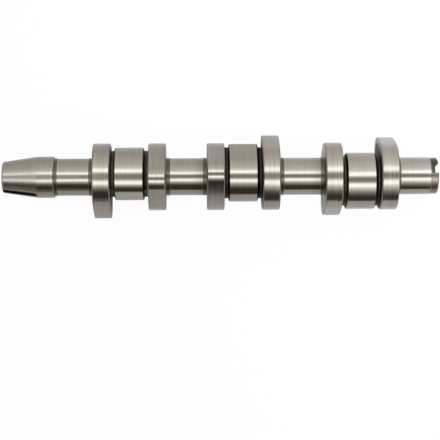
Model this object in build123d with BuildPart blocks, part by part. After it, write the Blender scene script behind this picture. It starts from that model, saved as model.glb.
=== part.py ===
from build123d import *
from math import acos, atan2, cos, degrees, radians, sin, tan
import os

# Camshaft of a three-cylinder diesel engine, made from one casting. Each cylinder has two valve
# lobes with an injector lobe between them. The shaft lies on its valve lobes' base circles.
# Distances along the shaft start at the front of the nose. Around it, an angle of 0 points
# straight up and grows towards +Y. All sizes are in millimetres and degrees.

# Places along the shaft
bore_pitch = 88.0              # from one cylinder's centre line to the next
first_bore = 99.7              # from the front of the nose to the first cylinder's centre line
group_shift = 1.45             # a cylinder's lobes stand off its centre line by this
valve_spacing = 42.8           # between the two valve lobes of one cylinder
valve_width = 13.5
injector_width = 22.6

# Bearing journals, each with an unground ring where it meets its neighbour
journal_radius = 14.4
ring_step = 0.2                # the rings stand above the ground journal by this
ring_width = 3.0
outer_ring_width = 2.4         # the first ring after the seal collar, and the last of all
last_journal_width = 23.8

# Nose: taper for the driving hub, keyway, bolt hole and seal collar
nose_radius = 12.05
nose_round = 1.5
taper_length = 27.2
seal_radius = 16.0
seal_width = 12.8
seal_edge = 0.4
keyway_width = 4.2
keyway_end = 26.2              # from the front of the nose to the keyway's round end
keyway_floor = 11.0            # from the shaft's axis to the keyway's flat floor
keyway_angle = -62.0
bolt_drill_radius = 5.25       # tapping drill of an M12 fine thread
bolt_hole_depth = 30.0
bolt_mouth_radius = 6.6
drill_point_angle = 118.0

# Drive end, with a slot that runs beside the shaft's axis
drive_radius = 14.0
drive_length = 5.6
drive_edge = 0.7
drive_slot_width = 7.6
drive_slot_offset = 4.0        # from the shaft's axis to the middle of the slot
drive_slot_depth = 3.0
drive_slot_angle = 7.1
centre_hole_radius = 2.6
centre_hole_angle = 60.0

# Injector lobe: base circle, straight steep flank, tight corner, shoulder and flat crown, then two
# slow arcs back to the base
injector_step = 3.7            # from the journals' radius up to the base circle's
crown_rise = 6.5               # the crown's radius is larger than the base circle's by this
slow_rise = 4.34               # the slow arc's radius by this
closing_rise = 2.1             # and the closing arc's radius by this
shoulder_radius = 14.6
corner_radius = 3.6
corner_end_angle = -38.0       # directions in which one arc runs into the next
shoulder_end_angle = -14.0
crown_end_angle = 12.0
slow_end_angle = 150.0
closing_end_angle = 221.0

# Valve lobe: base circle, two long flank arcs and a nose arc, each tangent to the next
valve_step = 0.08              # from the injector lobes' highest point up to the base circle
valve_lift = 8.5
valve_nose_radius = 11.3
valve_flank_radius = 172.0

# Edges of the lobes and the cast necks between them
lobe_edge = 0.8
neck_inset = 2.6               # the necks lie inside the injector lobe's outline by this
root_fillet = 0.9              # where a neck or a ring meets the side of a lobe
fillet_share = 0.8             # most of a side's free height that its fillet may take up

# Directions of the first cylinder's lobes, and the turn from one cylinder to the next
exhaust_angle = -117.0
intake_angle = -5.5
injector_angle = 0.0
firing_angle = 120.0
full_turn = 360.0

# The first two groups of lobes stand towards the nose with their exhaust lobe first. The third
# is their mirror image.
group_sides = (-1, -1, 1)
group_centres = [first_bore + bore_pitch * i + group_shift * side for i, side in enumerate(group_sides)]
group_half = (valve_spacing + valve_width) / 2
group_starts = [centre - group_half for centre in group_centres]
group_ends = [centre + group_half for centre in group_centres]

seal_end = taper_length + seal_width
last_journal_start = group_ends[-1] + outer_ring_width
drive_start = last_journal_start + last_journal_width
total_length = drive_start + drive_length
journals = [(seal_end + outer_ring_width, group_starts[0] - ring_width)]
journals += [(end + ring_width, start - ring_width) for end, start in zip(group_ends, group_starts[1:])]
journals += [(last_journal_start, drive_start)]


def polar(radius, angle):
    return Vector(radius * cos(radians(angle)), radius * sin(radians(angle)))


# Arcs of the injector lobe. Each is tangent to the next, so its centre follows from the one before.
injector_base_radius = journal_radius + injector_step
crown_radius = injector_base_radius + crown_rise
slow_radius = injector_base_radius + slow_rise
closing_radius = injector_base_radius + closing_rise
closing_centre = polar(-closing_rise, closing_end_angle)
slow_centre = closing_centre + polar(closing_rise - slow_rise, slow_end_angle)
crown_centre = slow_centre + polar(slow_radius - crown_radius, crown_end_angle)
shoulder_centre = crown_centre + polar(crown_radius - shoulder_radius, shoulder_end_angle)
corner_centre = shoulder_centre + polar(shoulder_radius - corner_radius, corner_end_angle)

# Its straight flank touches both the base circle and the corner arc.
corner_turn = degrees(atan2(corner_centre.Y, corner_centre.X))
flank_lean = degrees(acos((injector_base_radius - corner_radius) / corner_centre.length))
flank_angle = corner_turn - flank_lean

injector_reach = crown_centre.length + crown_radius
valve_base_radius = injector_reach + valve_step
ring_radius = journal_radius + ring_step
side_height = valve_base_radius - lobe_edge - (injector_reach - neck_inset)
neck_height = neck_inset - lobe_edge
root_radius = min(root_fillet, fillet_share * side_height, fillet_share * neck_height)

axis_height = valve_base_radius
front = -total_length / 2
nose_front = (front, 0, axis_height)
shaft_axis = Axis(nose_front, (1, 0, 0))


def outward(angle):
    """The direction that leaves the shaft's axis at the angle."""
    return Vector(0, sin(radians(angle)), cos(radians(angle)))


def across(distance, angle):
    """A plane across the shaft, whose first direction points to the angle."""
    return Plane(origin=(front + distance, 0, axis_height), x_dir=outward(angle), z_dir=(-1, 0, 0))


def turned(points):
    """Turns an outline of distances and radii about the shaft's axis."""
    with BuildSketch(Plane(origin=nose_front, x_dir=(1, 0, 0), z_dir=(0, -1, 0))) as half:
        with BuildLine():
            Polyline(*points, close=True)
        make_face()
    return half.sketch


def valve_outline():
    nose_centre = valve_base_radius + valve_lift - valve_nose_radius
    flank_reach = valve_flank_radius - valve_base_radius
    top_reach = valve_flank_radius - valve_nose_radius
    # The flank's centre lies on the line through the axis and the end of the base circle.
    base_end = degrees(
        acos((top_reach**2 - flank_reach**2 - nose_centre**2) / (2 * flank_reach * nose_centre))
    )
    flank_centre = polar(-flank_reach, base_end)
    nose_end = degrees(atan2(-flank_centre.Y, nose_centre - flank_centre.X))
    CenterArc((0, 0), valve_base_radius, base_end, full_turn - 2 * base_end)
    CenterArc((nose_centre, 0), valve_nose_radius, -nose_end, 2 * nose_end)
    CenterArc(flank_centre, valve_flank_radius, nose_end, base_end - nose_end)
    CenterArc((flank_centre.X, -flank_centre.Y), valve_flank_radius, -base_end, base_end - nose_end)


def injector_outline(inset=0.0):
    arcs = [
        (Vector(0, 0), injector_base_radius, closing_end_angle, full_turn + flank_angle),
        (corner_centre, corner_radius, flank_angle, corner_end_angle),
        (shoulder_centre, shoulder_radius, corner_end_angle, shoulder_end_angle),
        (crown_centre, crown_radius, shoulder_end_angle, crown_end_angle),
        (slow_centre, slow_radius, crown_end_angle, slow_end_angle),
        (closing_centre, closing_radius, slow_end_angle, closing_end_angle),
    ]
    for centre, radius, start, end in arcs:
        CenterArc(centre, radius - inset, start, end - start)
    flank_start = polar(injector_base_radius - inset, flank_angle)
    Line(flank_start, corner_centre + polar(corner_radius - inset, flank_angle))


def lobe(outline, centre, angle, width):
    """One lobe by itself, with both ends chamfered."""
    with BuildPart() as blank:
        with BuildSketch(across(centre, angle)):
            with BuildLine():
                outline()
            make_face()
        extrude(amount=width / 2, both=True)
        chamfer(blank.faces().filter_by(Axis.X).edges(), lobe_edge)
    return blank.part


# Outline of the round parts, from the nose to the drive end
core = [(0, 0), (0, nose_radius), (taper_length, seal_radius), (seal_end - seal_edge, seal_radius)]
core += [(seal_end, seal_radius - seal_edge), (seal_end, ring_radius)]
for start, end in journals[:-1]:
    core += [(start, ring_radius), (start, journal_radius), (end, journal_radius), (end, ring_radius)]
core += [(last_journal_start, ring_radius), (last_journal_start, journal_radius)]
core += [(drive_start - (journal_radius - drive_radius), journal_radius), (drive_start, drive_radius)]
core += [(total_length, drive_radius), (total_length, 0)]

# Outlines of the bolt's hole in the nose and of the centre hole in the drive end
mouth_depth = bolt_mouth_radius - bolt_drill_radius
point_depth = bolt_drill_radius / tan(radians(drill_point_angle / 2))
bolt_hole = [(0, 0), (0, bolt_mouth_radius), (mouth_depth, bolt_drill_radius)]
bolt_hole += [(bolt_hole_depth, bolt_drill_radius), (bolt_hole_depth + point_depth, 0)]
centre_depth = centre_hole_radius / tan(radians(centre_hole_angle / 2))
centre_hole = [(total_length, 0), (total_length, centre_hole_radius), (total_length - centre_depth, 0)]

with BuildPart() as camshaft:
    revolve(turned(core), axis=shaft_axis)
    fillet(camshaft.faces().sort_by(Axis.X)[0].edges(), nose_round)
    chamfer(camshaft.faces().sort_by(Axis.X)[-1].edges(), drive_edge)

    for cylinder, (centre, side) in enumerate(zip(group_centres, group_sides)):
        turn = firing_angle * cylinder
        # The cast neck runs through the group, from one valve lobe to the other.
        with BuildSketch(across(centre, injector_angle + turn)):
            with BuildLine():
                injector_outline(neck_inset)
            make_face()
        extrude(amount=valve_spacing / 2, both=True)
        exhaust_centre = centre + side * valve_spacing / 2
        intake_centre = centre - side * valve_spacing / 2
        for outline, place, angle, width in (
            (valve_outline, exhaust_centre, exhaust_angle, valve_width),
            (injector_outline, centre, injector_angle, injector_width),
            (valve_outline, intake_centre, intake_angle, valve_width),
        ):
            add(lobe(outline, place, angle + turn, width))
            fillet(camshaft.edges(Select.NEW), root_radius)

    # Keyway with a round end, milled into the taper along the shaft
    straight = keyway_end - keyway_width / 2
    keyway = Plane(origin=nose_front, x_dir=(1, 0, 0), z_dir=outward(keyway_angle))
    with BuildSketch(keyway.offset(keyway_floor)):
        Rectangle(2 * straight, keyway_width)
        with Locations((straight, 0)):
            Circle(keyway_width / 2)
    extrude(amount=seal_radius, mode=Mode.SUBTRACT)

    # Slot across the drive end
    with BuildSketch(across(total_length, drive_slot_angle)):
        with Locations((0, drive_slot_offset)):
            Rectangle(3 * drive_radius, drive_slot_width)
    extrude(amount=drive_slot_depth, mode=Mode.SUBTRACT)

    revolve(turned(bolt_hole), axis=shaft_axis, mode=Mode.SUBTRACT)
    revolve(turned(centre_hole), axis=shaft_axis, mode=Mode.SUBTRACT)

camshaft.part.label = "camshaft"

os.makedirs("parts", exist_ok=True)
export_step(camshaft.part, "parts/camshaft.step")
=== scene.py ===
# %% [markdown]
# # A cast and ground camshaft
#
# The object is one piece of chilled cast iron. A grinding wheel has made its taper, its bearing
# journals and its lobes bright, and what no other part touches has stayed dark as it was cast.
# This lesson wraps one continuous skin round the whole shaft, cuts two slots into it, gives it
# its ground and cast finishes and lights it as a small studio would.

import math

import bmesh
import bpy
from mathutils import Matrix, Vector


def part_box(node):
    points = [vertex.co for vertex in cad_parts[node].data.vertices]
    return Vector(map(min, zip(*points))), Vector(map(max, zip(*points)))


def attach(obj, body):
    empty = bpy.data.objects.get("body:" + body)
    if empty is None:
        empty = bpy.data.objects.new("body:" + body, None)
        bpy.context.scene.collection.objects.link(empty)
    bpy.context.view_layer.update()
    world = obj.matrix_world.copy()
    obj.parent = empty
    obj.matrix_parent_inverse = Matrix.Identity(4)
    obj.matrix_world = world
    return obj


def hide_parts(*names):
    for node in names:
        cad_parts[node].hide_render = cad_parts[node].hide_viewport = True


print("building in Blender", bpy.app.version_string)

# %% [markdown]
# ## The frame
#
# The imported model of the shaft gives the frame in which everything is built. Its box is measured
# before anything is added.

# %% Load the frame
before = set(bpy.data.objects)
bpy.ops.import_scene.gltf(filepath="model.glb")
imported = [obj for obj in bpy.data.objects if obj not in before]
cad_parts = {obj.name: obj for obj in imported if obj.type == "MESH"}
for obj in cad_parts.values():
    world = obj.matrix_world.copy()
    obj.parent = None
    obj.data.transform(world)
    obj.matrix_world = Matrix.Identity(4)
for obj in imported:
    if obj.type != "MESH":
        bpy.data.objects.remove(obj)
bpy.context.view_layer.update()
frame_low, frame_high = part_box("camshaft")
print("frame from", tuple(frame_low), "to", tuple(frame_high))

# %% [markdown]
# ## Sizes of the shaft
#
# All lengths are in metres, written with a millimetre as the unit so that they read like a
# drawing. Distances along the shaft start at the front of the nose. Angles round the shaft start
# straight up and grow towards +Y.

# %% Lengths along the shaft
mm = 0.001
bore_pitch = 88.0 * mm
first_bore = 99.7 * mm
group_shift = 1.45 * mm
valve_spacing = 42.8 * mm
valve_width = 13.5 * mm
injector_width = 22.6 * mm
ring_width = 3.0 * mm
outer_ring_width = 2.4 * mm
last_journal_width = 23.8 * mm
taper_length = 27.2 * mm
seal_width = 12.8 * mm
drive_length = 5.6 * mm
group_sides = (-1, -1, 1)

seal_end = taper_length + seal_width
group_half = (valve_spacing + valve_width) / 2
group_centres = [first_bore + bore_pitch * i + group_shift * side for i, side in enumerate(group_sides)]
last_journal_start = group_centres[-1] + group_half + outer_ring_width
drive_start = last_journal_start + last_journal_width
total_length = drive_start + drive_length
shaft_front = frame_low.x
frame_length = frame_high.x - frame_low.x
print("the shaft is", round(total_length / mm, 1), "mm long and its frame", round(frame_length / mm, 1))

# %% Radii and small edges
journal_radius = 14.4 * mm
ring_radius = 14.6 * mm
nose_radius = 12.05 * mm
nose_round = 1.5 * mm
seal_radius = 16.0 * mm
seal_edge = 0.4 * mm
drive_radius = 14.0 * mm
drive_edge = 0.7 * mm
lobe_edge = 0.8 * mm
root_fillet = 0.9 * mm
neck_inset = 2.6 * mm
corner_fillet = 0.3 * mm
soft_edge = 0.12 * mm
journal_relief = 0.2 * mm
side_strip = 0.25 * mm
root_strip = 0.1 * mm
root_top = ring_radius + root_fillet + root_strip
rim_inset = 0.02 * mm
weld_distance = 0.002 * mm
print("journals", round(2 * journal_radius / mm, 1), "mm across, rings", round(2 * ring_radius / mm, 1), "mm")

# %% [markdown]
# ## Formulas as Python sums
#
# Both the shape and the finish are formulas that Blender works out with nodes. Placing a Math
# node by hand for every plus sign hides the formula, so a small class wraps a node's socket and
# lets Python's own signs add the nodes.

# %% A socket that can be calculated with
class Wire:
    """One output of a node. Sums on wires add Math nodes to their tree."""

    def __init__(self, maker, socket):
        self.maker = maker
        self.socket = socket

    def __add__(self, other):
        return self.maker.math("ADD", self, other)

    def __radd__(self, other):
        return self.maker.math("ADD", other, self)

    def __sub__(self, other):
        return self.maker.math("SUBTRACT", self, other)

    def __rsub__(self, other):
        return self.maker.math("SUBTRACT", other, self)

    def __mul__(self, other):
        return self.maker.math("MULTIPLY", self, other)

    def __rmul__(self, other):
        return self.maker.math("MULTIPLY", other, self)

    def __truediv__(self, other):
        return self.maker.math("DIVIDE", self, other)

    def __lt__(self, other):
        return self.maker.math("LESS_THAN", self, other)

    def __gt__(self, other):
        return self.maker.math("GREATER_THAN", self, other)


class Maker:
    """Adds nodes to one tree."""

    def __init__(self, tree):
        self.tree = tree

    def node(self, kind, settings=None, inputs=None, stops=None):
        """A new node. Its settings come first, because they decide which sockets it has."""
        made = self.tree.nodes.new(kind)
        for name, value in (settings or {}).items():
            setattr(made, name, value)
        if stops:
            first, last = made.color_ramp.elements[0], made.color_ramp.elements[1]
            first.position, first.color = stops[0]
            last.position, last.color = stops[-1]
            for place, colour in stops[1:-1]:
                made.color_ramp.elements.new(place).color = colour
        for name, value in (inputs or {}).items():
            if isinstance(value, Wire):
                self.tree.links.new(value.socket, made.inputs[name])
            else:
                made.inputs[name].default_value = value
        return made

    def wire(self, kind, output=0, **parts):
        return Wire(self, self.node(kind, **parts).outputs[output])

    def math(self, operation, *values):
        inputs = dict(enumerate(values))
        return self.wire("ShaderNodeMath", settings={"operation": operation}, inputs=inputs)

    def split(self, vector):
        """The X, Y and Z of a vector."""
        parts = self.node("ShaderNodeSeparateXYZ", inputs={0: vector})
        return [Wire(self, parts.outputs[name]) for name in "XYZ"]

    def choose(self, test, yes, no):
        """yes where the test is 1, no where it is 0."""
        return self.wire("ShaderNodeMix", settings={"data_type": "FLOAT"}, inputs={0: test, 2: no, 3: yes})

    def store(self, geometry, name, value):
        """The geometry with one more value stored on its points."""
        return self.wire(
            "GeometryNodeStoreNamedAttribute",
            settings={"data_type": "FLOAT", "domain": "POINT"},
            inputs={"Geometry": geometry, "Name": name, "Value": value},
        )


print("the helpers for node trees are ready")

# %% [markdown]
# A Geometry Nodes tree starts with its named inputs and ends with plain geometry that has its
# material. The skin and the bolt's thread share these steps. A modifier knows an input by an
# identifier, not by its name, so the identifiers are kept beside the tree.

# %% How a tree starts, how it ends and how an object runs it
def new_tree(name, inputs):
    """A tree's maker, the identifiers of its inputs and the wires that come from them."""
    tree = bpy.data.node_groups.new(name, "GeometryNodeTree")
    tree.interface.new_socket("Geometry", in_out="OUTPUT", socket_type="NodeSocketGeometry")
    identifiers = {}
    for label, kind in inputs:
        socket = tree.interface.new_socket(label, in_out="INPUT", socket_type="NodeSocket" + kind)
        identifiers[label] = socket.identifier
    maker = Maker(tree)
    entry = maker.node("NodeGroupInput")
    print("inputs:", ", ".join(identifiers))
    return maker, identifiers, {label: Wire(maker, entry.outputs[label]) for label in identifiers}


def close_tree(maker, geometry, material):
    """The last nodes of a tree: real geometry with its material goes to the output."""
    geometry = maker.wire("GeometryNodeRealizeInstances", inputs={"Geometry": geometry})
    geometry = maker.wire("GeometryNodeSetMaterial", inputs={"Geometry": geometry, "Material": material})
    maker.node("NodeGroupOutput", inputs={"Geometry": geometry})
    print("the tree has", len(maker.tree.nodes), "nodes")


def run_tree(target, maker, identifiers, values):
    """Adds the modifier that runs a tree on an object, with a value for each named input."""
    modifier = target.modifiers.new(maker.tree.name, "NODES")
    modifier.node_group = maker.tree
    for label, value in values.items():
        modifier[identifiers[label]] = value


print("the helpers for whole trees are ready")

# %% [markdown]
# ## The lobes' outlines
#
# A cam's outline is a chain of arcs in which each runs smoothly into the next. The valve lobe has
# a base circle, a tight nose and two very long arcs for its flanks. The injector lobe falls off
# steeply on one side, because the injector has to snap, and eases back slowly on the other.
# Pure numbers such as the arcs' centres are worked out here, once, in plain Python.

# %% Where the arcs' centres are
def polar(radius, angle):
    """The point at a distance and an angle from the axis."""
    return Vector((radius * math.cos(angle), radius * math.sin(angle)))


def direction(point):
    """The angle at which the axis sees a point."""
    return math.atan2(point.y, point.x)


full_circle = 2 * math.pi
injector_base = 18.1 * mm
crown_radius = 24.6 * mm
slow_radius = 22.44 * mm
closing_radius = 20.2 * mm
shoulder_radius = 14.6 * mm
corner_radius = 3.6 * mm
corner_end = math.radians(-38.0)
shoulder_end = math.radians(-14.0)
crown_end = math.radians(12.0)
slow_end = math.radians(150.0)
closing_end = math.radians(221.0)

closing_centre = polar(injector_base - closing_radius, closing_end)
slow_centre = closing_centre + polar(closing_radius - slow_radius, slow_end)
crown_centre = slow_centre + polar(slow_radius - crown_radius, crown_end)
shoulder_centre = crown_centre + polar(crown_radius - shoulder_radius, shoulder_end)
corner_centre = shoulder_centre + polar(shoulder_radius - corner_radius, corner_end)
flank_angle = direction(corner_centre) - math.acos((injector_base - corner_radius) / corner_centre.length)

valve_step = 0.08 * mm
valve_lift = 8.5 * mm
valve_nose = 11.3 * mm
valve_flank = 172.0 * mm
valve_base = crown_centre.length + crown_radius + valve_step
nose_centre = valve_base + valve_lift - valve_nose
flank_reach = valve_flank - valve_base
base_end = math.acos(
    ((valve_flank - valve_nose) ** 2 - flank_reach**2 - nose_centre**2) / (2 * flank_reach * nose_centre)
)
flank_centre = polar(-flank_reach, base_end)
nose_end = math.atan2(-flank_centre.y, nose_centre - flank_centre.x)
axis_height = valve_base
print("valve lobe: base circle", round(valve_base / mm, 2), "mm, its flank ends at",
      round(math.degrees(base_end), 1), "degrees")

# %% [markdown]
# ## Stations along the shaft
#
# The skin is described like a lathe's work, as a path that runs from the bottom of the bolt's
# hole out over the nose and along the shaft to the centre hole in the drive end. Each point of
# the path is a station: how far along it is, which outline the shaft has there, how large that
# outline is, how it is turned and how it is finished. A helper rounds the path's corners, because
# no real edge is perfectly sharp and a soft edge catches the light.
#
# The shaft has five finishes, from bright to black: ground, turned on a lathe, covered in the
# brown scale of the furnace, as cast, and sooty in the deep corners that nothing can reach. The
# sooty finish is also painted shade: its near-black colour stands for the shade in those corners.

# %% Finishes and kinds of outline
GROUND = 1.0
TURNED = 0.75
SCALED = 0.5
CAST = 0.25
SOOTY_AND_SHADED = 0.0
ROUND, INJECTOR, VALVE = 0, 1, 2
ATTRIBUTES = ("along", "outline", "size", "turn", "polish")
LONGEST_CUT = 0.45
small_corner = 0.5 * mm
small_corner_steps = 2
stations = []


def add_stations(points, outline=ROUND, turn=0.0, fillet_steps=4):
    """Adds a path of (along, height, corner radius, finish of the stretch that follows).

    A corner takes up at most the share LONGEST_CUT of the stretches beside it.
    """
    sign = 1.0 if outline == ROUND else -1.0
    for i, (along, height, corner, finish) in enumerate(points):
        before = points[i - 1][3] if i else finish
        here = Vector((along, height))
        if corner == 0.0 or i in (0, len(points) - 1):
            stations.append((along, outline, sign * height, turn, before))
            continue
        back = Vector(points[i - 1][:2]) - here
        ahead = Vector(points[i + 1][:2]) - here
        half = back.angle(ahead) / 2
        cut = min(corner / math.tan(half), LONGEST_CUT * back.length, LONGEST_CUT * ahead.length)
        start, end = here + back.normalized() * cut, here + ahead.normalized() * cut
        bend = math.pi - 2 * half
        radius = cut * math.tan(half)
        centre = here + (back.normalized() + ahead.normalized()).normalized() * (radius / math.sin(half))
        first = start - centre
        turned = 1.0 if first.x * (end - centre).y - first.y * (end - centre).x > 0 else -1.0
        steps = fillet_steps if corner > small_corner else small_corner_steps
        for k in range(steps + 1):
            share = k / steps
            place = centre + Matrix.Rotation(turned * bend * share, 2) @ first
            stations.append((place.x, outline, sign * place.y, turn, before if share <= 0.5 else finish))


def add_lobe(outline, centre, width, angle, left_side, right_side):
    """A lobe with a ground rim and chamfered edges. A side that faces a neck was never turned."""
    left, right = centre - width / 2, centre + width / 2
    side = lobe_edge + side_strip
    add_stations(
        [
            (left, -side, 0.0, left_side),
            (left, -lobe_edge, soft_edge, TURNED),
            (left + lobe_edge, -rim_inset, soft_edge, GROUND),
            (right - lobe_edge, -rim_inset, soft_edge, TURNED),
            (right, -lobe_edge, soft_edge, right_side),
            (right, -side, 0.0, right_side),
        ],
        outline,
        angle,
    )


def add_neck(left, right, angle):
    """The cast neck between two lobes is the injector lobe's outline, further in."""
    lip = neck_inset - root_fillet - root_strip
    # The fillets and the strips beside them are sooty and painted dark, as shade in the deep corners.
    sooty_and_shaded_length = root_fillet + side_strip
    add_stations(
        [
            (left, -lip, 0.0, SOOTY_AND_SHADED),
            (left, -neck_inset, root_fillet, SOOTY_AND_SHADED),
            (left + sooty_and_shaded_length, -neck_inset, 0.0, CAST),
            (right - sooty_and_shaded_length, -neck_inset, 0.0, SOOTY_AND_SHADED),
            (right, -neck_inset, root_fillet, SOOTY_AND_SHADED),
            (right, -lip, 0.0, SOOTY_AND_SHADED),
        ],
        INJECTOR,
        angle,
        fillet_steps=3,
    )


def journal_between(start, end):
    """A ground journal, a little thinner than the turned rings at its two ends."""
    return [
        (start, ring_radius, soft_edge, SCALED),
        (start + journal_relief, journal_radius, soft_edge, GROUND),
        (end - journal_relief, journal_radius, soft_edge, SCALED),
        (end, ring_radius, soft_edge, SCALED),
    ]


def into_lobe(face):
    """From a ring through a fillet up the side of a lobe."""
    return [(face, ring_radius, root_fillet, SCALED), (face, root_top, 0.0, TURNED)]


def out_of_lobe(face):
    """From the side of a lobe through a fillet down to a ring."""
    return [(face, root_top, 0.0, SCALED), (face, ring_radius, root_fillet, SCALED)]


print("the path's helpers are ready")

# %% [markdown]
# ## The nose
#
# The nose holds the driving hub: a taper centres it, a key stops it from slipping and a bolt
# draws it on. The bolt's hole is part of the same path, so the path starts at its bottom.

# %% The bolt's hole, the taper, the seal collar and the first journal
drill_radius = 5.25 * mm
drill_half_angle = math.radians(59.0)
hole_depth = 30.0 * mm
point_depth = drill_radius / math.tan(drill_half_angle)
thread_radius = 6.0 * mm
thread_end = 24.0 * mm
mouth_radius = 6.6 * mm
group_start = group_centres[0] - group_half
journal_start = seal_end + outer_ring_width
journal_end = group_start - ring_width
add_stations(
    [
        (hole_depth + point_depth, 0.0, 0.0, TURNED),
        (hole_depth, drill_radius, soft_edge, TURNED),
        (thread_end + thread_radius - drill_radius, drill_radius, soft_edge, TURNED),
        (thread_end, thread_radius, soft_edge, TURNED),
        (mouth_radius - thread_radius, thread_radius, soft_edge, TURNED),
        (0.0, mouth_radius, soft_edge, TURNED),
        (0.0, nose_radius, nose_round, GROUND),
        (taper_length, seal_radius, corner_fillet, GROUND),
        (seal_end - seal_edge, seal_radius, soft_edge, GROUND),
        (seal_end, seal_radius - seal_edge, soft_edge, SCALED),
        (seal_end, ring_radius, corner_fillet, SCALED),
    ]
    + journal_between(journal_start, journal_end)
    + into_lobe(group_start)
)
print(len(stations), "stations up to the first lobe")

# %% [markdown]
# ## Three groups of lobes
#
# Each cylinder has a valve lobe, an injector lobe and a valve lobe, and the next cylinder's group
# is the same one turned by 120 degrees. The third group is a mirror image of the others along the
# shaft. So one loop makes all nine lobes and the journals between the groups.

# %% The lobes, the necks and the journals between them
exhaust_angle = math.radians(-117.0)
intake_angle = math.radians(-5.5)
firing_angle = math.radians(120.0)

for cylinder, (centre, side) in enumerate(zip(group_centres, group_sides)):
    turn = firing_angle * cylinder
    first, last = (exhaust_angle, intake_angle) if side < 0 else (intake_angle, exhaust_angle)
    valve_inner = centre - valve_spacing / 2 + valve_width / 2
    injector_start = centre - injector_width / 2
    add_lobe(VALVE, centre - valve_spacing / 2, valve_width, first + turn, TURNED, SCALED)
    add_neck(valve_inner, injector_start, turn)
    add_lobe(INJECTOR, centre, injector_width, turn, SCALED, SCALED)
    add_neck(2 * centre - injector_start, 2 * centre - valve_inner, turn)
    add_lobe(VALVE, centre + valve_spacing / 2, valve_width, last + turn, SCALED, TURNED)
    if cylinder == len(group_centres) - 1:
        break
    left, right = centre + group_half, group_centres[cylinder + 1] - group_half
    journal = journal_between(left + ring_width, right - ring_width)
    add_stations(out_of_lobe(left) + journal + into_lobe(right))
print(len(stations), "stations up to the last lobe")

# %% [markdown]
# ## The drive end
#
# The last journal is ground up to its edge. The short end behind it, which drives a pump through
# a slot, was only turned. A small conical hole held the shaft between centres while it was ground.

# %% The last journal and the drive end
centre_radius = 2.6 * mm
centre_half_angle = math.radians(30.0)
centre_depth = centre_radius / math.tan(centre_half_angle)
last_face = group_centres[-1] + group_half
add_stations(
    out_of_lobe(last_face)
    + [
        (last_journal_start, ring_radius, soft_edge, SCALED),
        (last_journal_start + journal_relief, journal_radius, soft_edge, GROUND),
        (drive_start - (journal_radius - drive_radius), journal_radius, soft_edge, TURNED),
        (drive_start, drive_radius, soft_edge, TURNED),
        (total_length - drive_edge, drive_radius, soft_edge, TURNED),
        (total_length, drive_radius - drive_edge, soft_edge, TURNED),
        (total_length, centre_radius, soft_edge, TURNED),
        (total_length - centre_depth, 0.0, 0.0, TURNED),
    ]
)
print(len(stations), "stations in all")

# %% [markdown]
# ## The path as a mesh of points
#
# The stations go to Geometry Nodes as a small mesh: one point per station, with the station's
# five values stored on it as attributes.

# %% Store the stations
mesh = bpy.data.meshes.new("camshaft")
mesh.from_pydata([(shaft_front + row[0], 0.0, axis_height) for row in stations], [], [])
for place, name in enumerate(ATTRIBUTES):
    layer = mesh.attributes.new(name, "FLOAT", "POINT")
    layer.data.foreach_set("value", [float(row[place]) for row in stations])
camshaft = bpy.data.objects.new("camshaft_casting", mesh)
bpy.context.collection.objects.link(camshaft)
print("path of", len(mesh.vertices), "points")

# %% [markdown]
# ## The skin, made by Geometry Nodes
#
# The tree lays out a flat grid: one row for each station and one column for each step round the
# shaft. Then it moves every grid point to its place. The three kinds of outline are formulas for
# the distance from the axis at a given angle, and each row takes the one that its station names.

# %% The skin's inputs
SKIN_INPUTS = (
    ("Stations", "Geometry"),
    ("Steps Round", "Int"),
    ("Axis Height", "Float"),
    ("Front", "Float"),
    ("Weld Distance", "Float"),
    ("Finish", "Material"),
)
m, skin_identifiers, given = new_tree("Camshaft skin", SKIN_INPUTS)

# %% The row and the column of each grid point
count = m.wire("GeometryNodeAttributeDomainSize", inputs={"Geometry": given["Stations"]})
round_steps = given["Steps Round"]
grid = m.wire("GeometryNodeMeshGrid", inputs={"Vertices X": count, "Vertices Y": round_steps + 1.0})
index = m.wire("GeometryNodeInputIndex")
row = m.math("FLOOR", (index + 0.5) / (round_steps + 1.0))
column = index - row * (round_steps + 1.0)
angle = column / round_steps * full_circle


def station_value(name):
    """One of the stored values, looked up at this grid point's row."""
    stored = m.wire("GeometryNodeInputNamedAttribute", settings={"data_type": "FLOAT"}, inputs={"Name": name})
    return m.wire(
        "GeometryNodeSampleIndex",
        settings={"data_type": "FLOAT", "domain": "POINT"},
        inputs={"Geometry": given["Stations"], "Value": stored, "Index": row},
    )


along, outline, size, turn, polish = (station_value(name) for name in ATTRIBUTES)
print("each grid point knows its station and its angle")

# %% [markdown]
# An arc's distance from the axis follows from the circle's equation. Seen from the axis at some
# angle, the arc's centre lies a certain way ahead on the line of sight and a certain way beside it.

# %% The formulas of the outlines
def arc(at, centre, radius):
    """Distance from the axis to a circle's far side."""
    off_line = at - direction(centre)
    ahead = centre.length * m.math("COSINE", off_line)
    beside = centre.length * m.math("SINE", off_line)
    return ahead + m.math("SQRT", radius * radius - beside * beside)


def seen_at(centre, radius, normal):
    """The angle at which the axis sees the point of a circle that faces a direction."""
    up = centre.y + radius * math.sin(normal)
    return m.math("ARCTAN2", up, centre.x + radius * math.cos(normal))


own_angle = angle - turn
half_turn = m.math("ABSOLUTE", m.math("WRAP", own_angle, math.pi, -math.pi))
nose = arc(half_turn, Vector((nose_centre, 0.0)), valve_nose - size)
flank = arc(half_turn, flank_centre, valve_flank - size)
nose_limit = seen_at(Vector((nose_centre, 0.0)), valve_nose - size, nose_end)
valve = m.choose(half_turn < nose_limit, nose, m.choose(half_turn < base_end, flank, valve_base - size))

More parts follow.
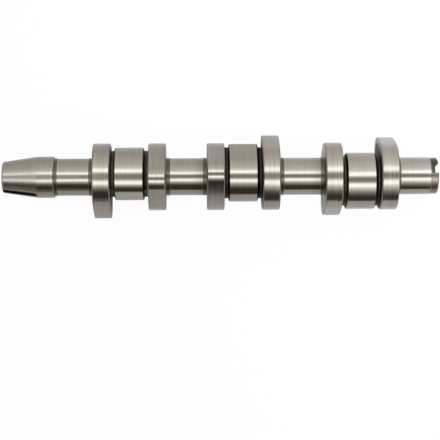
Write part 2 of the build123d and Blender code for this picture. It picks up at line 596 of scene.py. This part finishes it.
whole_turn = m.math("WRAP", own_angle, full_circle, 0.0)
crown = arc(whole_turn, crown_centre, crown_radius - size)
pieces_from_the_top = (
    (seen_at(crown_centre, crown_radius - size, crown_end), crown),
    (seen_at(slow_centre, slow_radius - size, slow_end), arc(whole_turn, slow_centre, slow_radius - size)),
    (closing_end, arc(whole_turn, closing_centre, closing_radius - size)),
    (full_circle + flank_angle, injector_base - size),
    (
        full_circle + seen_at(corner_centre, corner_radius - size, flank_angle),
        (injector_base - size) / m.math("COSINE", whole_turn - flank_angle),
    ),
    (
        full_circle + seen_at(corner_centre, corner_radius - size, corner_end),
        arc(whole_turn, corner_centre, corner_radius - size),
    ),
    (
        full_circle + seen_at(shoulder_centre, shoulder_radius - size, shoulder_end),
        arc(whole_turn, shoulder_centre, shoulder_radius - size),
    ),
)
injector = crown
for stop, piece in reversed(pieces_from_the_top):
    injector = m.choose(whole_turn < stop, piece, injector)
round_or_injector = m.choose(outline > (ROUND + INJECTOR) / 2, injector, size)
radius = m.choose(outline > (INJECTOR + VALVE) / 2, valve, round_or_injector)
print("with the outlines' formulas the tree has", len(m.tree.nodes), "nodes")

# %% [markdown]
# The grid's last column falls on its first one, and the first and the last row each fall on one
# point of the axis. Merging points by distance welds all of these, so the skin is closed.

# %% Move the points, weld the seam and store what the finish needs
place = m.wire(
    "ShaderNodeCombineXYZ",
    inputs={
        "X": given["Front"] + along,
        "Y": radius * m.math("SINE", angle),
        "Z": given["Axis Height"] + radius * m.math("COSINE", angle),
    },
)
skin = m.store(grid, "polish", polish)
skin = m.wire("GeometryNodeSetPosition", inputs={"Geometry": skin, "Position": place})
skin = m.wire("GeometryNodeMergeByDistance", inputs={"Geometry": skin, "Distance": given["Weld Distance"]})
close_tree(m, skin, given["Finish"])

# %% [markdown]
# ## The bolt's thread
#
# The bolt that holds the hub screws into the nose. A thread is one ridge that climbs round the
# hole. The tree lays out a long strip, five points wide, and winds it into the hole as a helix.
# Across the strip, the first and the fourth point lie in the wall, the two between them on the
# ridge's crest, and the last one falls on the first. Both ends of the ridge fade out, as they do
# where a tap starts and stops cutting.

# %% The thread's inputs
THREAD_INPUTS = (
    ("Turns", "Float"),
    ("Steps per Turn", "Float"),
    ("Pitch", "Float"),
    ("Root Radius", "Float"),
    ("Crest Radius", "Float"),
    ("Front", "Float"),
    ("Axis Height", "Float"),
    ("Finish", "Material"),
)
h, thread_identifiers, wanted = new_tree("Bolt thread", THREAD_INPUTS)

# %% Wind a strip into a helix
strip_points = 5
rows = wanted["Turns"] * wanted["Steps per Turn"] + 1.0
strip = h.wire("GeometryNodeMeshGrid", inputs={"Vertices X": rows, "Vertices Y": strip_points})
index = h.wire("GeometryNodeInputIndex")
row = h.math("FLOOR", (index + 0.5) / strip_points)
column = h.math("WRAP", index - strip_points * row, strip_points - 1, 0)
turns = row / wanted["Steps per Turn"]
crest = (column > 0.5) * (column < 2.5)
side = 2.0 * (column > 1.5) - 1.0
fade_per_turn = 2.0
fade = h.math("MINIMUM", h.math("MINIMUM", turns, wanted["Turns"] - turns) * fade_per_turn, 1.0)
crest_half, root_half = 0.07, 0.42
offset = side * wanted["Pitch"] * h.choose(crest, crest_half, root_half) * fade
radius = wanted["Root Radius"] + crest * fade * (wanted["Crest Radius"] - wanted["Root Radius"])
place = h.wire(
    "ShaderNodeCombineXYZ",
    inputs={
        "X": wanted["Front"] + wanted["Pitch"] * turns + offset,
        "Y": -1.0 * radius * h.math("SINE", turns * full_circle),
        "Z": wanted["Axis Height"] + radius * h.math("COSINE", turns * full_circle),
    },
)
strip = h.wire("GeometryNodeSetPosition", inputs={"Geometry": strip, "Position": place})
strip = h.wire("GeometryNodeMergeByDistance", inputs={"Geometry": strip, "Distance": weld_distance})
strip = h.wire("GeometryNodeFlipFaces", inputs={"Mesh": strip})
close_tree(h, h.store(strip, "polish", TURNED), wanted["Finish"])

# %% [markdown]
# ## The two slots
#
# A milling cutter leaves a flat floor and two straight walls. The keyway in the taper ends in the
# half circle of its cutter. The slot in the drive end sits beside the axis, so that the pump can
# only be fitted one way round. Both are prisms that are taken away from the skin.

# %% Prisms for the keyway and the drive slot
keyway_width = 4.2 * mm
keyway_end = 26.2 * mm
keyway_floor = 11.0 * mm
keyway_angle = math.radians(-62.0)
drive_slot_width = 7.6 * mm
drive_slot_offset = 4.0 * mm
drive_slot_depth = 3.0 * mm
drive_slot_angle = math.radians(7.1)
cutter_overlap = 2 * mm
cutter_reach = 20 * mm
bend_steps = 16


def outward(at):
    """The direction away from the axis at an angle round the shaft."""
    return Vector((0.0, math.sin(at), math.cos(at)))


def prism(name, outline_points, place, low, high, finish):
    """A closed block over an outline; place puts a point (u, v, w) into the frame."""
    block = bmesh.new()
    floor_ring = [block.verts.new(place(u, v, low)) for u, v in outline_points]
    top_ring = [block.verts.new(place(u, v, high)) for u, v in outline_points]
    block.faces.new(floor_ring[::-1])
    block.faces.new(top_ring)
    for i in range(len(outline_points)):
        j = (i + 1) % len(outline_points)
        block.faces.new((floor_ring[i], floor_ring[j], top_ring[j], top_ring[i]))
    bmesh.ops.recalc_face_normals(block, faces=block.faces)
    block_mesh = bpy.data.meshes.new(name)
    block.to_mesh(block_mesh)
    block.free()
    milled = block_mesh.attributes.new("polish", "FLOAT", "POINT")
    milled.data.foreach_set("value", [finish] * len(block_mesh.vertices))
    made = bpy.data.objects.new(name, block_mesh)
    bpy.context.collection.objects.link(made)
    return made


axis = Vector((shaft_front, 0.0, axis_height))
half_key = keyway_width / 2
key_side = outward(keyway_angle + math.pi / 2)
key_outline = [(-cutter_overlap, -half_key)]
for k in range(bend_steps + 1):
    bend = -math.pi / 2 + math.pi * k / bend_steps
    key_outline.append((keyway_end - half_key + half_key * math.cos(bend), half_key * math.sin(bend)))
key_outline.append((-cutter_overlap, half_key))
keyway = prism(
    "keyway",
    key_outline,
    lambda u, v, w: axis + Vector((u, 0, 0)) + key_side * v + outward(keyway_angle) * w,
    keyway_floor,
    cutter_reach,
    SCALED,
)
half_slot = drive_slot_width / 2
slot_side = outward(drive_slot_angle + math.pi / 2)
slot_outline = [
    (-cutter_reach, -half_slot),
    (cutter_reach, -half_slot),
    (cutter_reach, half_slot),
    (-cutter_reach, half_slot),
]
# The drive slot's faces are given the dark colour of the cast necks.
drive_slot = prism(
    "drive_slot",
    slot_outline,
    lambda u, v, w: axis
    + Vector((w, 0, 0))
    + outward(drive_slot_angle) * u
    + slot_side * (drive_slot_offset + v),
    total_length - drive_slot_depth,
    total_length + cutter_overlap,
    CAST,
)
print("keyway", round(keyway_end / mm, 1), "mm long; drive slot", round(drive_slot_depth / mm, 1), "mm deep")

# %% [markdown]
# ## The finishes of the iron
#
# One material covers the whole shaft, because it is one piece of iron, and the polish value says
# which finish each place has. A wheel or a lathe tool leaves very fine rings round the shaft, so
# most patterns change quickly along it and slowly round it. The flat sides of the lobes were
# faced on a lathe, so their rings run round the axis. Handling has added a few scratches and nicks.

# %% What the iron's patterns are
iron = bpy.data.materials.new("cast_and_ground_iron")
iron.use_nodes = True
iron.node_tree.nodes.clear()
s = Maker(iron.node_tree)
point = s.wire("ShaderNodeTexCoord", output="Object")
polished = s.wire("ShaderNodeAttribute", output="Fac", settings={"attribute_name": "polish"})


def moved(operation, vector, by):
    """A vector changed by three plain numbers, one for each of its parts."""
    return s.wire("ShaderNodeVectorMath", settings={"operation": operation}, inputs={0: vector, 1: by})


def noise(stretch, detail):
    """Cloudy noise, stretched: the numbers say how often it repeats in a metre along X, Y and Z."""
    spread = moved("MULTIPLY", point, stretch)
    return s.wire("ShaderNodeTexNoise", inputs={"Vector": spread, "Scale": 1.0, "Detail": detail})


def ramp_up(value, low, high):
    """0 where a value is under low, 1 where it is over high."""
    return s.wire("ShaderNodeMapRange", inputs={"Value": value, "From Min": low, "From Max": high})


def mixed(share, low, high):
    """A colour between two others."""
    inputs = {0: share, 6: low, 7: high}
    return s.wire("ShaderNodeMix", output=2, settings={"data_type": "RGBA"}, inputs=inputs)


spot_x, spot_y, spot_z = s.split(point)
lifted = spot_z - axis_height
from_axis = s.math("SQRT", spot_y * spot_y + lifted * lifted)
ring_place = s.wire("ShaderNodeCombineXYZ", inputs={"X": 2400.0 * from_axis, "Y": 60.0 * spot_y})
facing_rings = s.wire("ShaderNodeTexNoise", inputs={"Vector": ring_place, "Scale": 1.0, "Detail": 3.0})
fine_rings = noise((2600.0, 70.0, 70.0), 4.0)
broad_rings = noise((420.0, 25.0, 25.0), 2.0)
wheel_marks = noise((950.0, 30.0, 30.0), 2.0)
patches = noise((110.0, 110.0, 110.0), 4.0)
grain = noise((1100.0, 1100.0, 1100.0), 5.0)
scratches = ramp_up(noise((5200.0, 40.0, 40.0), 1.0), 0.66, 0.72) * ramp_up(patches, 0.45, 0.55)
handling = ramp_up(noise((60.0, 3800.0, 700.0), 1.0), 0.7, 0.74) * ramp_up(broad_rings, 0.5, 0.56)
cell = s.node("ShaderNodeTexVoronoi", inputs={"Vector": point, "Scale": 85.0})
cell_colour = s.node("ShaderNodeSeparateColor", inputs={0: Wire(s, cell.outputs["Color"])})
nicks = (Wire(s, cell.outputs["Distance"]) < 0.05) * (Wire(s, cell_colour.outputs["Red"]) > 0.82)


def mark(centre, stretch, reach):
    """1 inside one small spot with a soft edge."""
    away = moved("MULTIPLY", moved("SUBTRACT", point, centre), stretch)
    distance = s.wire(
        "ShaderNodeVectorMath", output="Value", settings={"operation": "LENGTH"}, inputs={0: away}
    )
    return 1.0 - ramp_up(distance, 0.5 * reach, reach)


scuff = mark((-105.4 * mm, 0.4 * mm, axis_height + journal_radius), (1.0, 2.5, 1.0), 1.3 * mm)
stain = mark((91.5 * mm, -19.5 * mm, axis_height), (0.7, 1.6, 0.05), 2.5 * mm)
print("rings, patches, grain, scratches, nicks and two marks are set")

# %% [markdown]
# The bands of the finish follow the polish value. The drive end is coloured darker on one side of
# its slot, and the ground journal beside it is painted a little bluer and lighter there, as a
# painted reflection. The taper is ground less finely than the journals, so that the hub grips it,
# and the seal's collar lies between the two. The narrow wheel that followed the valve lobes left
# marks that can be seen, and it had worn a little when it reached the last three of them. The two
# middle journals are painted a little darker close to the next group, as shade from its lobes.

# %% Where each finish is
def around(value, middle, half_width):
    """A change from 0 to 1 that is half done at the middle."""
    return ramp_up(value, middle - half_width, middle + half_width)


def finer_than(lower, upper):
    """0 on the lower finish and 1 on the upper one."""
    return around(polished, (lower + upper) / 2, 0.05)


is_sooty_and_shaded = 1.0 - finer_than(SOOTY_AND_SHADED, CAST)
is_cast = 1.0 - finer_than(CAST, SCALED)
is_scaled = 1.0 - finer_than(SCALED, TURNED)
is_ground = finer_than(TURNED, GROUND)
drive_x = shaft_front + drive_start
painted_reflection_length = 22 * mm
# The drive end is coloured darker on its +Y side.
dark_drive_side = ramp_up(spot_x, drive_x - 0.2 * mm, drive_x) * ramp_up(spot_y, 1.0 * mm, 3.0 * mm)
# Painted reflection: the last journal is coloured lighter and a little bluer on its +Y side.
painted_journal_reflection = ramp_up(spot_x, drive_x - painted_reflection_length, drive_x) * ramp_up(spot_y, 0.0, 6.0 * mm)
print("the drive end is dark from", round(drive_x / mm, 1), "mm along the frame")

# %% Where the grinding is coarser
taper_grit, nose_grit, worn_wheel_grit = 0.08, 0.035, 0.045
first_worn_lobe = 3
taper_back, collar_back = shaft_front + taper_length, shaft_front + seal_end
on_taper = 1.0 - around(spot_x, taper_back, 1.0 * mm)
on_nose = 1.0 - around(spot_x, collar_back, 0.5 * mm)
coarseness = taper_grit * on_taper + nose_grit * on_nose
on_valve_lobe = 0.0
for k in range(2 * len(group_centres)):
    lobe_centre = shaft_front + group_centres[k // 2] + (k % 2 - 0.5) * valve_spacing
    on_this_lobe = s.math("ABSOLUTE", spot_x - lobe_centre) < valve_width / 2
    on_valve_lobe = on_this_lobe + on_valve_lobe
    if k >= first_worn_lobe:
        coarseness = coarseness + worn_wheel_grit * on_this_lobe
# Painted shade: the two middle journals darken towards the next group's lobes.
painted_lobe_shade = 0.0
shade_length = 9.0 * mm
for centre in group_centres[1:]:
    ground_end = shaft_front + centre - group_half - ring_width
    painted_lobe_shade = ramp_up(spot_x, ground_end - shade_length, ground_end) * (spot_x < ground_end) + painted_lobe_shade
print("the taper is coarse up to", round(taper_back / mm, 1), "mm along the frame")

# %% [markdown]
# Each finish is a mix of a darker and a lighter tint. Wear with painted shade, the darker side of
# the drive end and the painted reflection on the last journal are laid over them.

# %% The iron's colours
GROUND_TINTS = (0.222, 0.196, 0.165, 1), (0.34, 0.3, 0.252, 1)
TURNED_TINTS = (0.11, 0.097, 0.08, 1), (0.23, 0.203, 0.17, 1)
SCALED_TINTS = (0.06, 0.049, 0.037, 1), (0.12, 0.1, 0.077, 1)
CAST_TINTS = (0.042, 0.031, 0.025, 1), (0.08, 0.062, 0.052, 1)
SOOTY_AND_SHADED_TINTS = (0.007, 0.005, 0.004, 1), (0.018, 0.013, 0.011, 1)
PAINTED_REFLECTION_TINT = (0.29, 0.28, 0.268, 1)
WEAR_AND_SHADE_TINT = (0.1, 0.085, 0.07, 1)
DARK_DRIVE_TINT = (0.055, 0.05, 0.043, 1)

tone = 0.4 * broad_rings + 0.25 * fine_rings + 0.35 * patches + 1.3 * on_valve_lobe * (wheel_marks - 0.5)
# Real scratches, handling, nicks, a scuff and a stain, together with the painted shade beside the lobe
# groups.
wear_and_painted_shade = 0.35 * scratches + 0.3 * handling + 0.6 * nicks + 0.8 * scuff + 0.5 * stain + 0.4 * painted_lobe_shade
facing = 0.5 * facing_rings + 0.5 * tone
# The painted reflection on the last journal goes over the ground colour.
ground_colour = mixed(0.7 * painted_journal_reflection, mixed(tone, *GROUND_TINTS), PAINTED_REFLECTION_TINT)
ground_colour = mixed(wear_and_painted_shade, ground_colour, WEAR_AND_SHADE_TINT)
turned_or_ground = mixed(is_ground, mixed(facing, *TURNED_TINTS), ground_colour)
colour = mixed(is_scaled, turned_or_ground, mixed(patches, *SCALED_TINTS))
colour = mixed(dark_drive_side, colour, DARK_DRIVE_TINT)
colour = mixed(is_cast, colour, mixed(grain, *CAST_TINTS))
# Soot and painted shade in the deep corners.
colour = mixed(is_sooty_and_shaded, colour, mixed(grain, *SOOTY_AND_SHADED_TINTS))
# The three kinds are wear with painted shade, the darker drive side and the painted reflection.
print("five finishes and three kinds of stain are coloured")

# %% The iron
smooth_roughness = 0.24 - 0.14 * is_ground + 0.08 * tone + 0.1 * scratches + 0.1 * nicks + coarseness
cast_roughness = 0.45 + 0.2 * patches
cut_relief = fine_rings + s.choose(is_ground, 0.0, facing_rings)
cut_relief = cut_relief - 0.5 * scratches - 0.5 * handling - 2.0 * nicks
cast_relief = 6.0 * grain
relief = s.choose(is_cast, cast_relief, cut_relief)
bump = s.wire("ShaderNodeBump", inputs={"Strength": 0.25, "Distance": 0.02 * mm, "Height": relief})
shader = s.wire(
    "ShaderNodeBsdfPrincipled",
    inputs={
        "Base Color": colour,
        "Roughness": s.choose(is_cast, cast_roughness, smooth_roughness),
        "Metallic": 1.0,
        "Normal": bump,
    },
)
s.node("ShaderNodeOutputMaterial", inputs={"Surface": shader})
print("the iron has", len(iron.node_tree.nodes), "nodes")

# %% [markdown]
# ## From the path to one finished mesh
#
# The modifiers run in order: the tree makes the skin and the two slots are cut. The result is
# kept as a plain mesh with its sharp edges marked. Then its normals are weighted, so that large
# flat areas stay flat up to their soft edges, and that is kept as a plain mesh too.

# %% Build the shaft
skin_values = {
    "Steps Round": 288,
    "Axis Height": axis_height,
    "Front": shaft_front,
    "Weld Distance": weld_distance,
    "Finish": iron,
}
run_tree(camshaft, m, skin_identifiers, skin_values)
for cutter in (keyway, drive_slot):
    cutter.data.materials.append(iron)
    cut = camshaft.modifiers.new("Cut " + cutter.name, "BOOLEAN")
    cut.operation = "DIFFERENCE"
    cut.solver = "EXACT"
    cut.object = cutter


def plain_mesh(source):
    """Keeps what the modifiers make of an object as its own mesh, and removes them."""
    graph = bpy.context.evaluated_depsgraph_get()
    source.data = bpy.data.meshes.new_from_object(source.evaluated_get(graph), depsgraph=graph)
    source.modifiers.clear()
    return source.data


def smooth_mesh(source, sharp_over):
    """A plain mesh with one material, soft up to an angle in degrees."""
    made = plain_mesh(source)
    made.materials.clear()
    made.materials.append(iron)
    made.polygons.foreach_set("material_index", [0] * len(made.polygons))
    made.shade_smooth()
    made.set_sharp_from_angle(angle=math.radians(sharp_over))


smooth_mesh(camshaft, 50.0)
for cutter in (keyway, drive_slot):
    bpy.data.objects.remove(cutter)
even = camshaft.modifiers.new("Even normals", "WEIGHTED_NORMAL")
even.keep_sharp = True
faces = plain_mesh(camshaft).polygons
print("the skin has", len(faces), "faces and", sum(len(face.vertices) - 2 for face in faces), "triangles")
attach(camshaft, "root")
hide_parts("camshaft")

# %% [markdown]
# The thread's ridge sits a little inside the wall of the hole, so no gap can show between them.

# %% Wind the thread into the hole
bolt_thread = bpy.data.objects.new("bolt_thread", bpy.data.meshes.new("bolt_thread"))
bpy.context.collection.objects.link(bolt_thread)
thread_values = {
    "Turns": 14.5,
    "Steps per Turn": 48.0,
    "Pitch": 1.5 * mm,
    "Root Radius": thread_radius + 0.04 * mm,
    "Crest Radius": drill_radius + 0.05 * mm,
    "Front": shaft_front + 1.4 * mm,
    "Axis Height": axis_height,
    "Finish": iron,
}
run_tree(bolt_thread, h, thread_identifiers, thread_values)
smooth_mesh(bolt_thread, 30.0)
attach(bolt_thread, "root")
print("the thread has", len(bolt_thread.data.polygons), "faces")

# %% [markdown]
# ## Camera
#
# The shaft lies on its lobes and the camera looks straight down on it from a good metre away, a
# little to one side, as the photographer's did.

# %% Camera
camera_height = 1113.0 * mm
camera_y = -33.8 * mm
eye = Vector((-19.7 * mm, camera_y, axis_height + camera_height))
aim = Vector((-0.4 * mm, camera_y, axis_height))
tilt = math.radians(0.268)
back = (eye - aim).normalized()
up = back.cross(Vector((math.cos(tilt), -math.sin(tilt), 0.0))).normalized()
right = up.cross(back)
camera_data = bpy.data.cameras.new("camera")
camera_data.lens = 117.0
camera = bpy.data.objects.new("camera", camera_data)
bpy.context.collection.objects.link(camera)
camera.matrix_world = Matrix.Translation(eye) @ Matrix((right, up, back)).transposed().to_4x4()
bpy.context.scene.camera = camera
print("camera at", tuple(round(value, 3) for value in eye))

# %% [markdown]
# ## Studio
#
# Bright metal shows its surroundings more than its own colour, so what stands round the shaft
# draws most of the picture. Here the shaft lies in a tent of white cloth that runs along it. Two
# light boxes behind the cloth give each round part its two bright lines. Low down on one side the
# cloth is black, which gives the dark line that makes steel look hard. The camera's own dark
# front shows between the two bright lines.

# %% A helper for what only the shaft sees
def stage_sheet(name, points, faces, paint):
    """A sheet that lights the shaft and can't be seen by the camera itself."""
    sheet_mesh = bpy.data.meshes.new(name)
    sheet_mesh.from_pydata(points, [], faces)
    sheet_mesh.materials.append(paint)
    sheet = bpy.data.objects.new(name, sheet_mesh)
    bpy.context.collection.objects.link(sheet)
    sheet.visible_camera = False
    sheet.visible_shadow = False


def empty_material(name):
    """A material with no nodes yet, and the maker for its tree."""
    paint = bpy.data.materials.new(name)
    paint.use_nodes = True
    paint.node_tree.nodes.clear()
    return paint, Maker(paint.node_tree)


def ray_kinds(maker):
    """Three wires: 1 for rays from the camera, rays from a reflection and rays through glass."""
    rays = maker.node("ShaderNodeLightPath")
    names = ("Is Camera Ray", "Is Glossy Ray", "Is Transmission Ray")
    return [Wire(maker, rays.outputs[name]) for name in names]


print("the studio's helpers are ready")

# %% [markdown]
# The cloth's brightness follows the angle at which the shaft sees it. Beyond 20 degrees the levels
# fan out towards the drive end, and the whole tent is a little brighter there.

# %% How bright the tent is, by the angle at which the shaft sees it
TENT_BRIGHTNESS = (
    (-92, 0.35), (-86, 0.1), (-60, 0.1), (-54, 0.22), (-48, 0.42), (-42, 0.8), (-36, 1.4), (-30, 2.2),
    (-26, 3.6), (-20, 4.0), (-16, 3.3), (-12, 1.5), (-8, 1.0), (-3, 1.0), (3, 1.0), (8, 1.05),
    (12, 1.6), (16, 3.5), (20, 4.0), (25, 3.7), (30, 2.25), (36, 1.9), (42, 1.65), (48, 1.52),
    (60, 1.36), (72, 1.26), (84, 1.12), (92, 1.08),
)
tent_edge = 92.0
tent_peak = 4.3
tent_radius = 0.6
tent_half_length = 0.65
tent_fan = 1.3
fan_from = 20.0
brighter_right = 0.7


def cloth_colour(brightness):
    """Dark cloth is a little brown, the light boxes are a little blue."""
    dark = 1.0 - min(brightness, 1.0)
    cool = min(max(brightness - 1.0, 0.0) / 2.0, 1.0)
    red, green, blue = 1.0 - 0.05 * cool, 1.0 - 0.17 * dark, 1.0 - 0.27 * dark + 0.09 * cool
    return tuple(brightness / tent_peak * part for part in (red, green, blue)) + (1.0,)


print("the tent has", len(TENT_BRIGHTNESS), "levels of brightness")

# %% The tent
cloth, c = empty_material("tent_cloth")
cloth_x, cloth_y, cloth_z = c.split(c.wire("ShaderNodeTexCoord", output="Object"))
cloth_angle = c.math("DEGREES", c.math("ARCTAN2", cloth_y, cloth_z - axis_height))
beyond = c.math("MAXIMUM", c.math("ABSOLUTE", cloth_angle) - fan_from, 0.0)
seen_angle = cloth_angle - c.math("SIGN", cloth_angle) * beyond * tent_fan * cloth_x
level = c.wire(
    "ShaderNodeValToRGB",
    inputs={0: (seen_angle + tent_edge) / (2 * tent_edge)},
    stops=[((at + tent_edge) / (2 * tent_edge), cloth_colour(value)) for at, value in TENT_BRIGHTNESS],
)
glow = c.wire("ShaderNodeEmission", inputs={"Color": level, "Strength": tent_peak + brighter_right * cloth_x})
c.node("ShaderNodeOutputMaterial", inputs={"Surface": glow})

tent_steps = 48
tent_points = []
for x in (-tent_half_length, tent_half_length):
    for k in range(tent_steps + 1):
        at = math.radians(tent_edge * (2 * k / tent_steps - 1))
        tent_points.append(Vector((x, 0, axis_height)) + outward(at) * tent_radius)
other_end = tent_steps + 1
tent_faces = [(k, k + 1, other_end + k + 1, other_end + k) for k in range(tent_steps)]
stage_sheet("tent", tent_points, tent_faces, cloth)
print("the tent is", round(2 * tent_half_length, 1), "m long")

# %% The camera's own dark front
front_distance = 0.58
front_brightness = 0.65
front_corners = ((-0.12, -7), (0.6, -7), (0.6, 7.5), (-0.12, 7.5))
front_points = [
    Vector((x, 0, axis_height)) + outward(math.radians(at)) * front_distance for x, at in front_corners
]
dull, d = empty_material("camera_front")
glow = d.wire("ShaderNodeEmission", inputs={"Color": (1.0, 0.97, 0.93, 1), "Strength": front_brightness})
d.node("ShaderNodeOutputMaterial", inputs={"Surface": glow})
stage_sheet("camera_front", front_points, [(0, 1, 2, 3)], dull)
print("the camera's front is", front_distance, "m above the shaft")

# %% [markdown]
# ## Floor
#
# The shaft lies on a large sheet of white paper. Most of what the camera sees of it is simply
# white, and the rest is lit like any paper, so a soft shadow stays. Reflections in the metal see
# the same paper, painted a little greyer towards the black cloth and the nose as shade.

# %% The sheet of paper
paper, f = empty_material("paper")
paper_half = 3
camera_share, reflection_share = 0.96, 0.35
from_camera, reflected, through_glass = ray_kinds(f)
in_reflection = f.math("MAXIMUM", reflected, through_glass)
white_share = f.math("MAXIMUM", reflection_share * in_reflection, camera_share * from_camera)
paper_x, paper_y, _ = f.split(f.wire("ShaderNodeTexCoord", output="Object"))


def graded(value, reach, low, high):
    """low up to -reach, high from reach on, and an even change between the two."""
    return f.wire(
        "ShaderNodeMapRange",
        inputs={"Value": value, "From Min": -reach, "From Max": reach, "To Min": low, "To Max": high},
    )


# Painted shade: the paper's colour is greyer towards -Y and towards the nose.
paper_grey_and_shade = graded(paper_y, 0.06, 0.59, 0.7) * graded(paper_x, 0.17, 0.78, 1.18)
lit = f.wire("ShaderNodeBsdfDiffuse", inputs={"Color": paper_grey_and_shade})
white = f.wire("ShaderNodeEmission", inputs={"Color": (1, 1, 1, 1), "Strength": 1.0})
f.node(
    "ShaderNodeOutputMaterial",
    inputs={"Surface": f.wire("ShaderNodeMixShader", inputs={0: white_share, 1: lit, 2: white})},
)
floor_mesh = bpy.data.meshes.new("floor")
corners = [(paper_half * x, paper_half * y, 0) for x, y in ((-1, -1), (1, -1), (1, 1), (-1, 1))]
floor_mesh.from_pydata(corners, [], [(0, 1, 2, 3)])
floor_mesh.materials.append(paper)
floor = bpy.data.objects.new("floor", floor_mesh)
bpy.context.collection.objects.link(floor)
print("the paper is", 2 * paper_half, "m wide")

# %% [markdown]
# ## The room
#
# Beyond the tent the room is an even white. The camera, the metal and the glass of any lens see
# it at full white, and it lights the shaft a little less strongly than that.

# %% The room's light and how the picture is developed
world = bpy.data.worlds.new("room")
bpy.context.scene.world = world
world.use_nodes = True
world.node_tree.nodes.clear()
w = Maker(world.node_tree)
white_seen, room_light = 1.0, 0.85
from_camera, reflected, through_glass = ray_kinds(w)
seen = w.math("MAXIMUM", w.math("MAXIMUM", from_camera, reflected), through_glass)
strength = w.choose(seen, white_seen, room_light)
room = w.wire("ShaderNodeBackground", inputs={"Color": (1, 1, 1, 1), "Strength": strength})
w.node("ShaderNodeOutputWorld", inputs={"Surface": room})
bpy.context.scene.view_settings.view_transform = "Standard"
print("view transform:", bpy.context.scene.view_settings.view_transform)
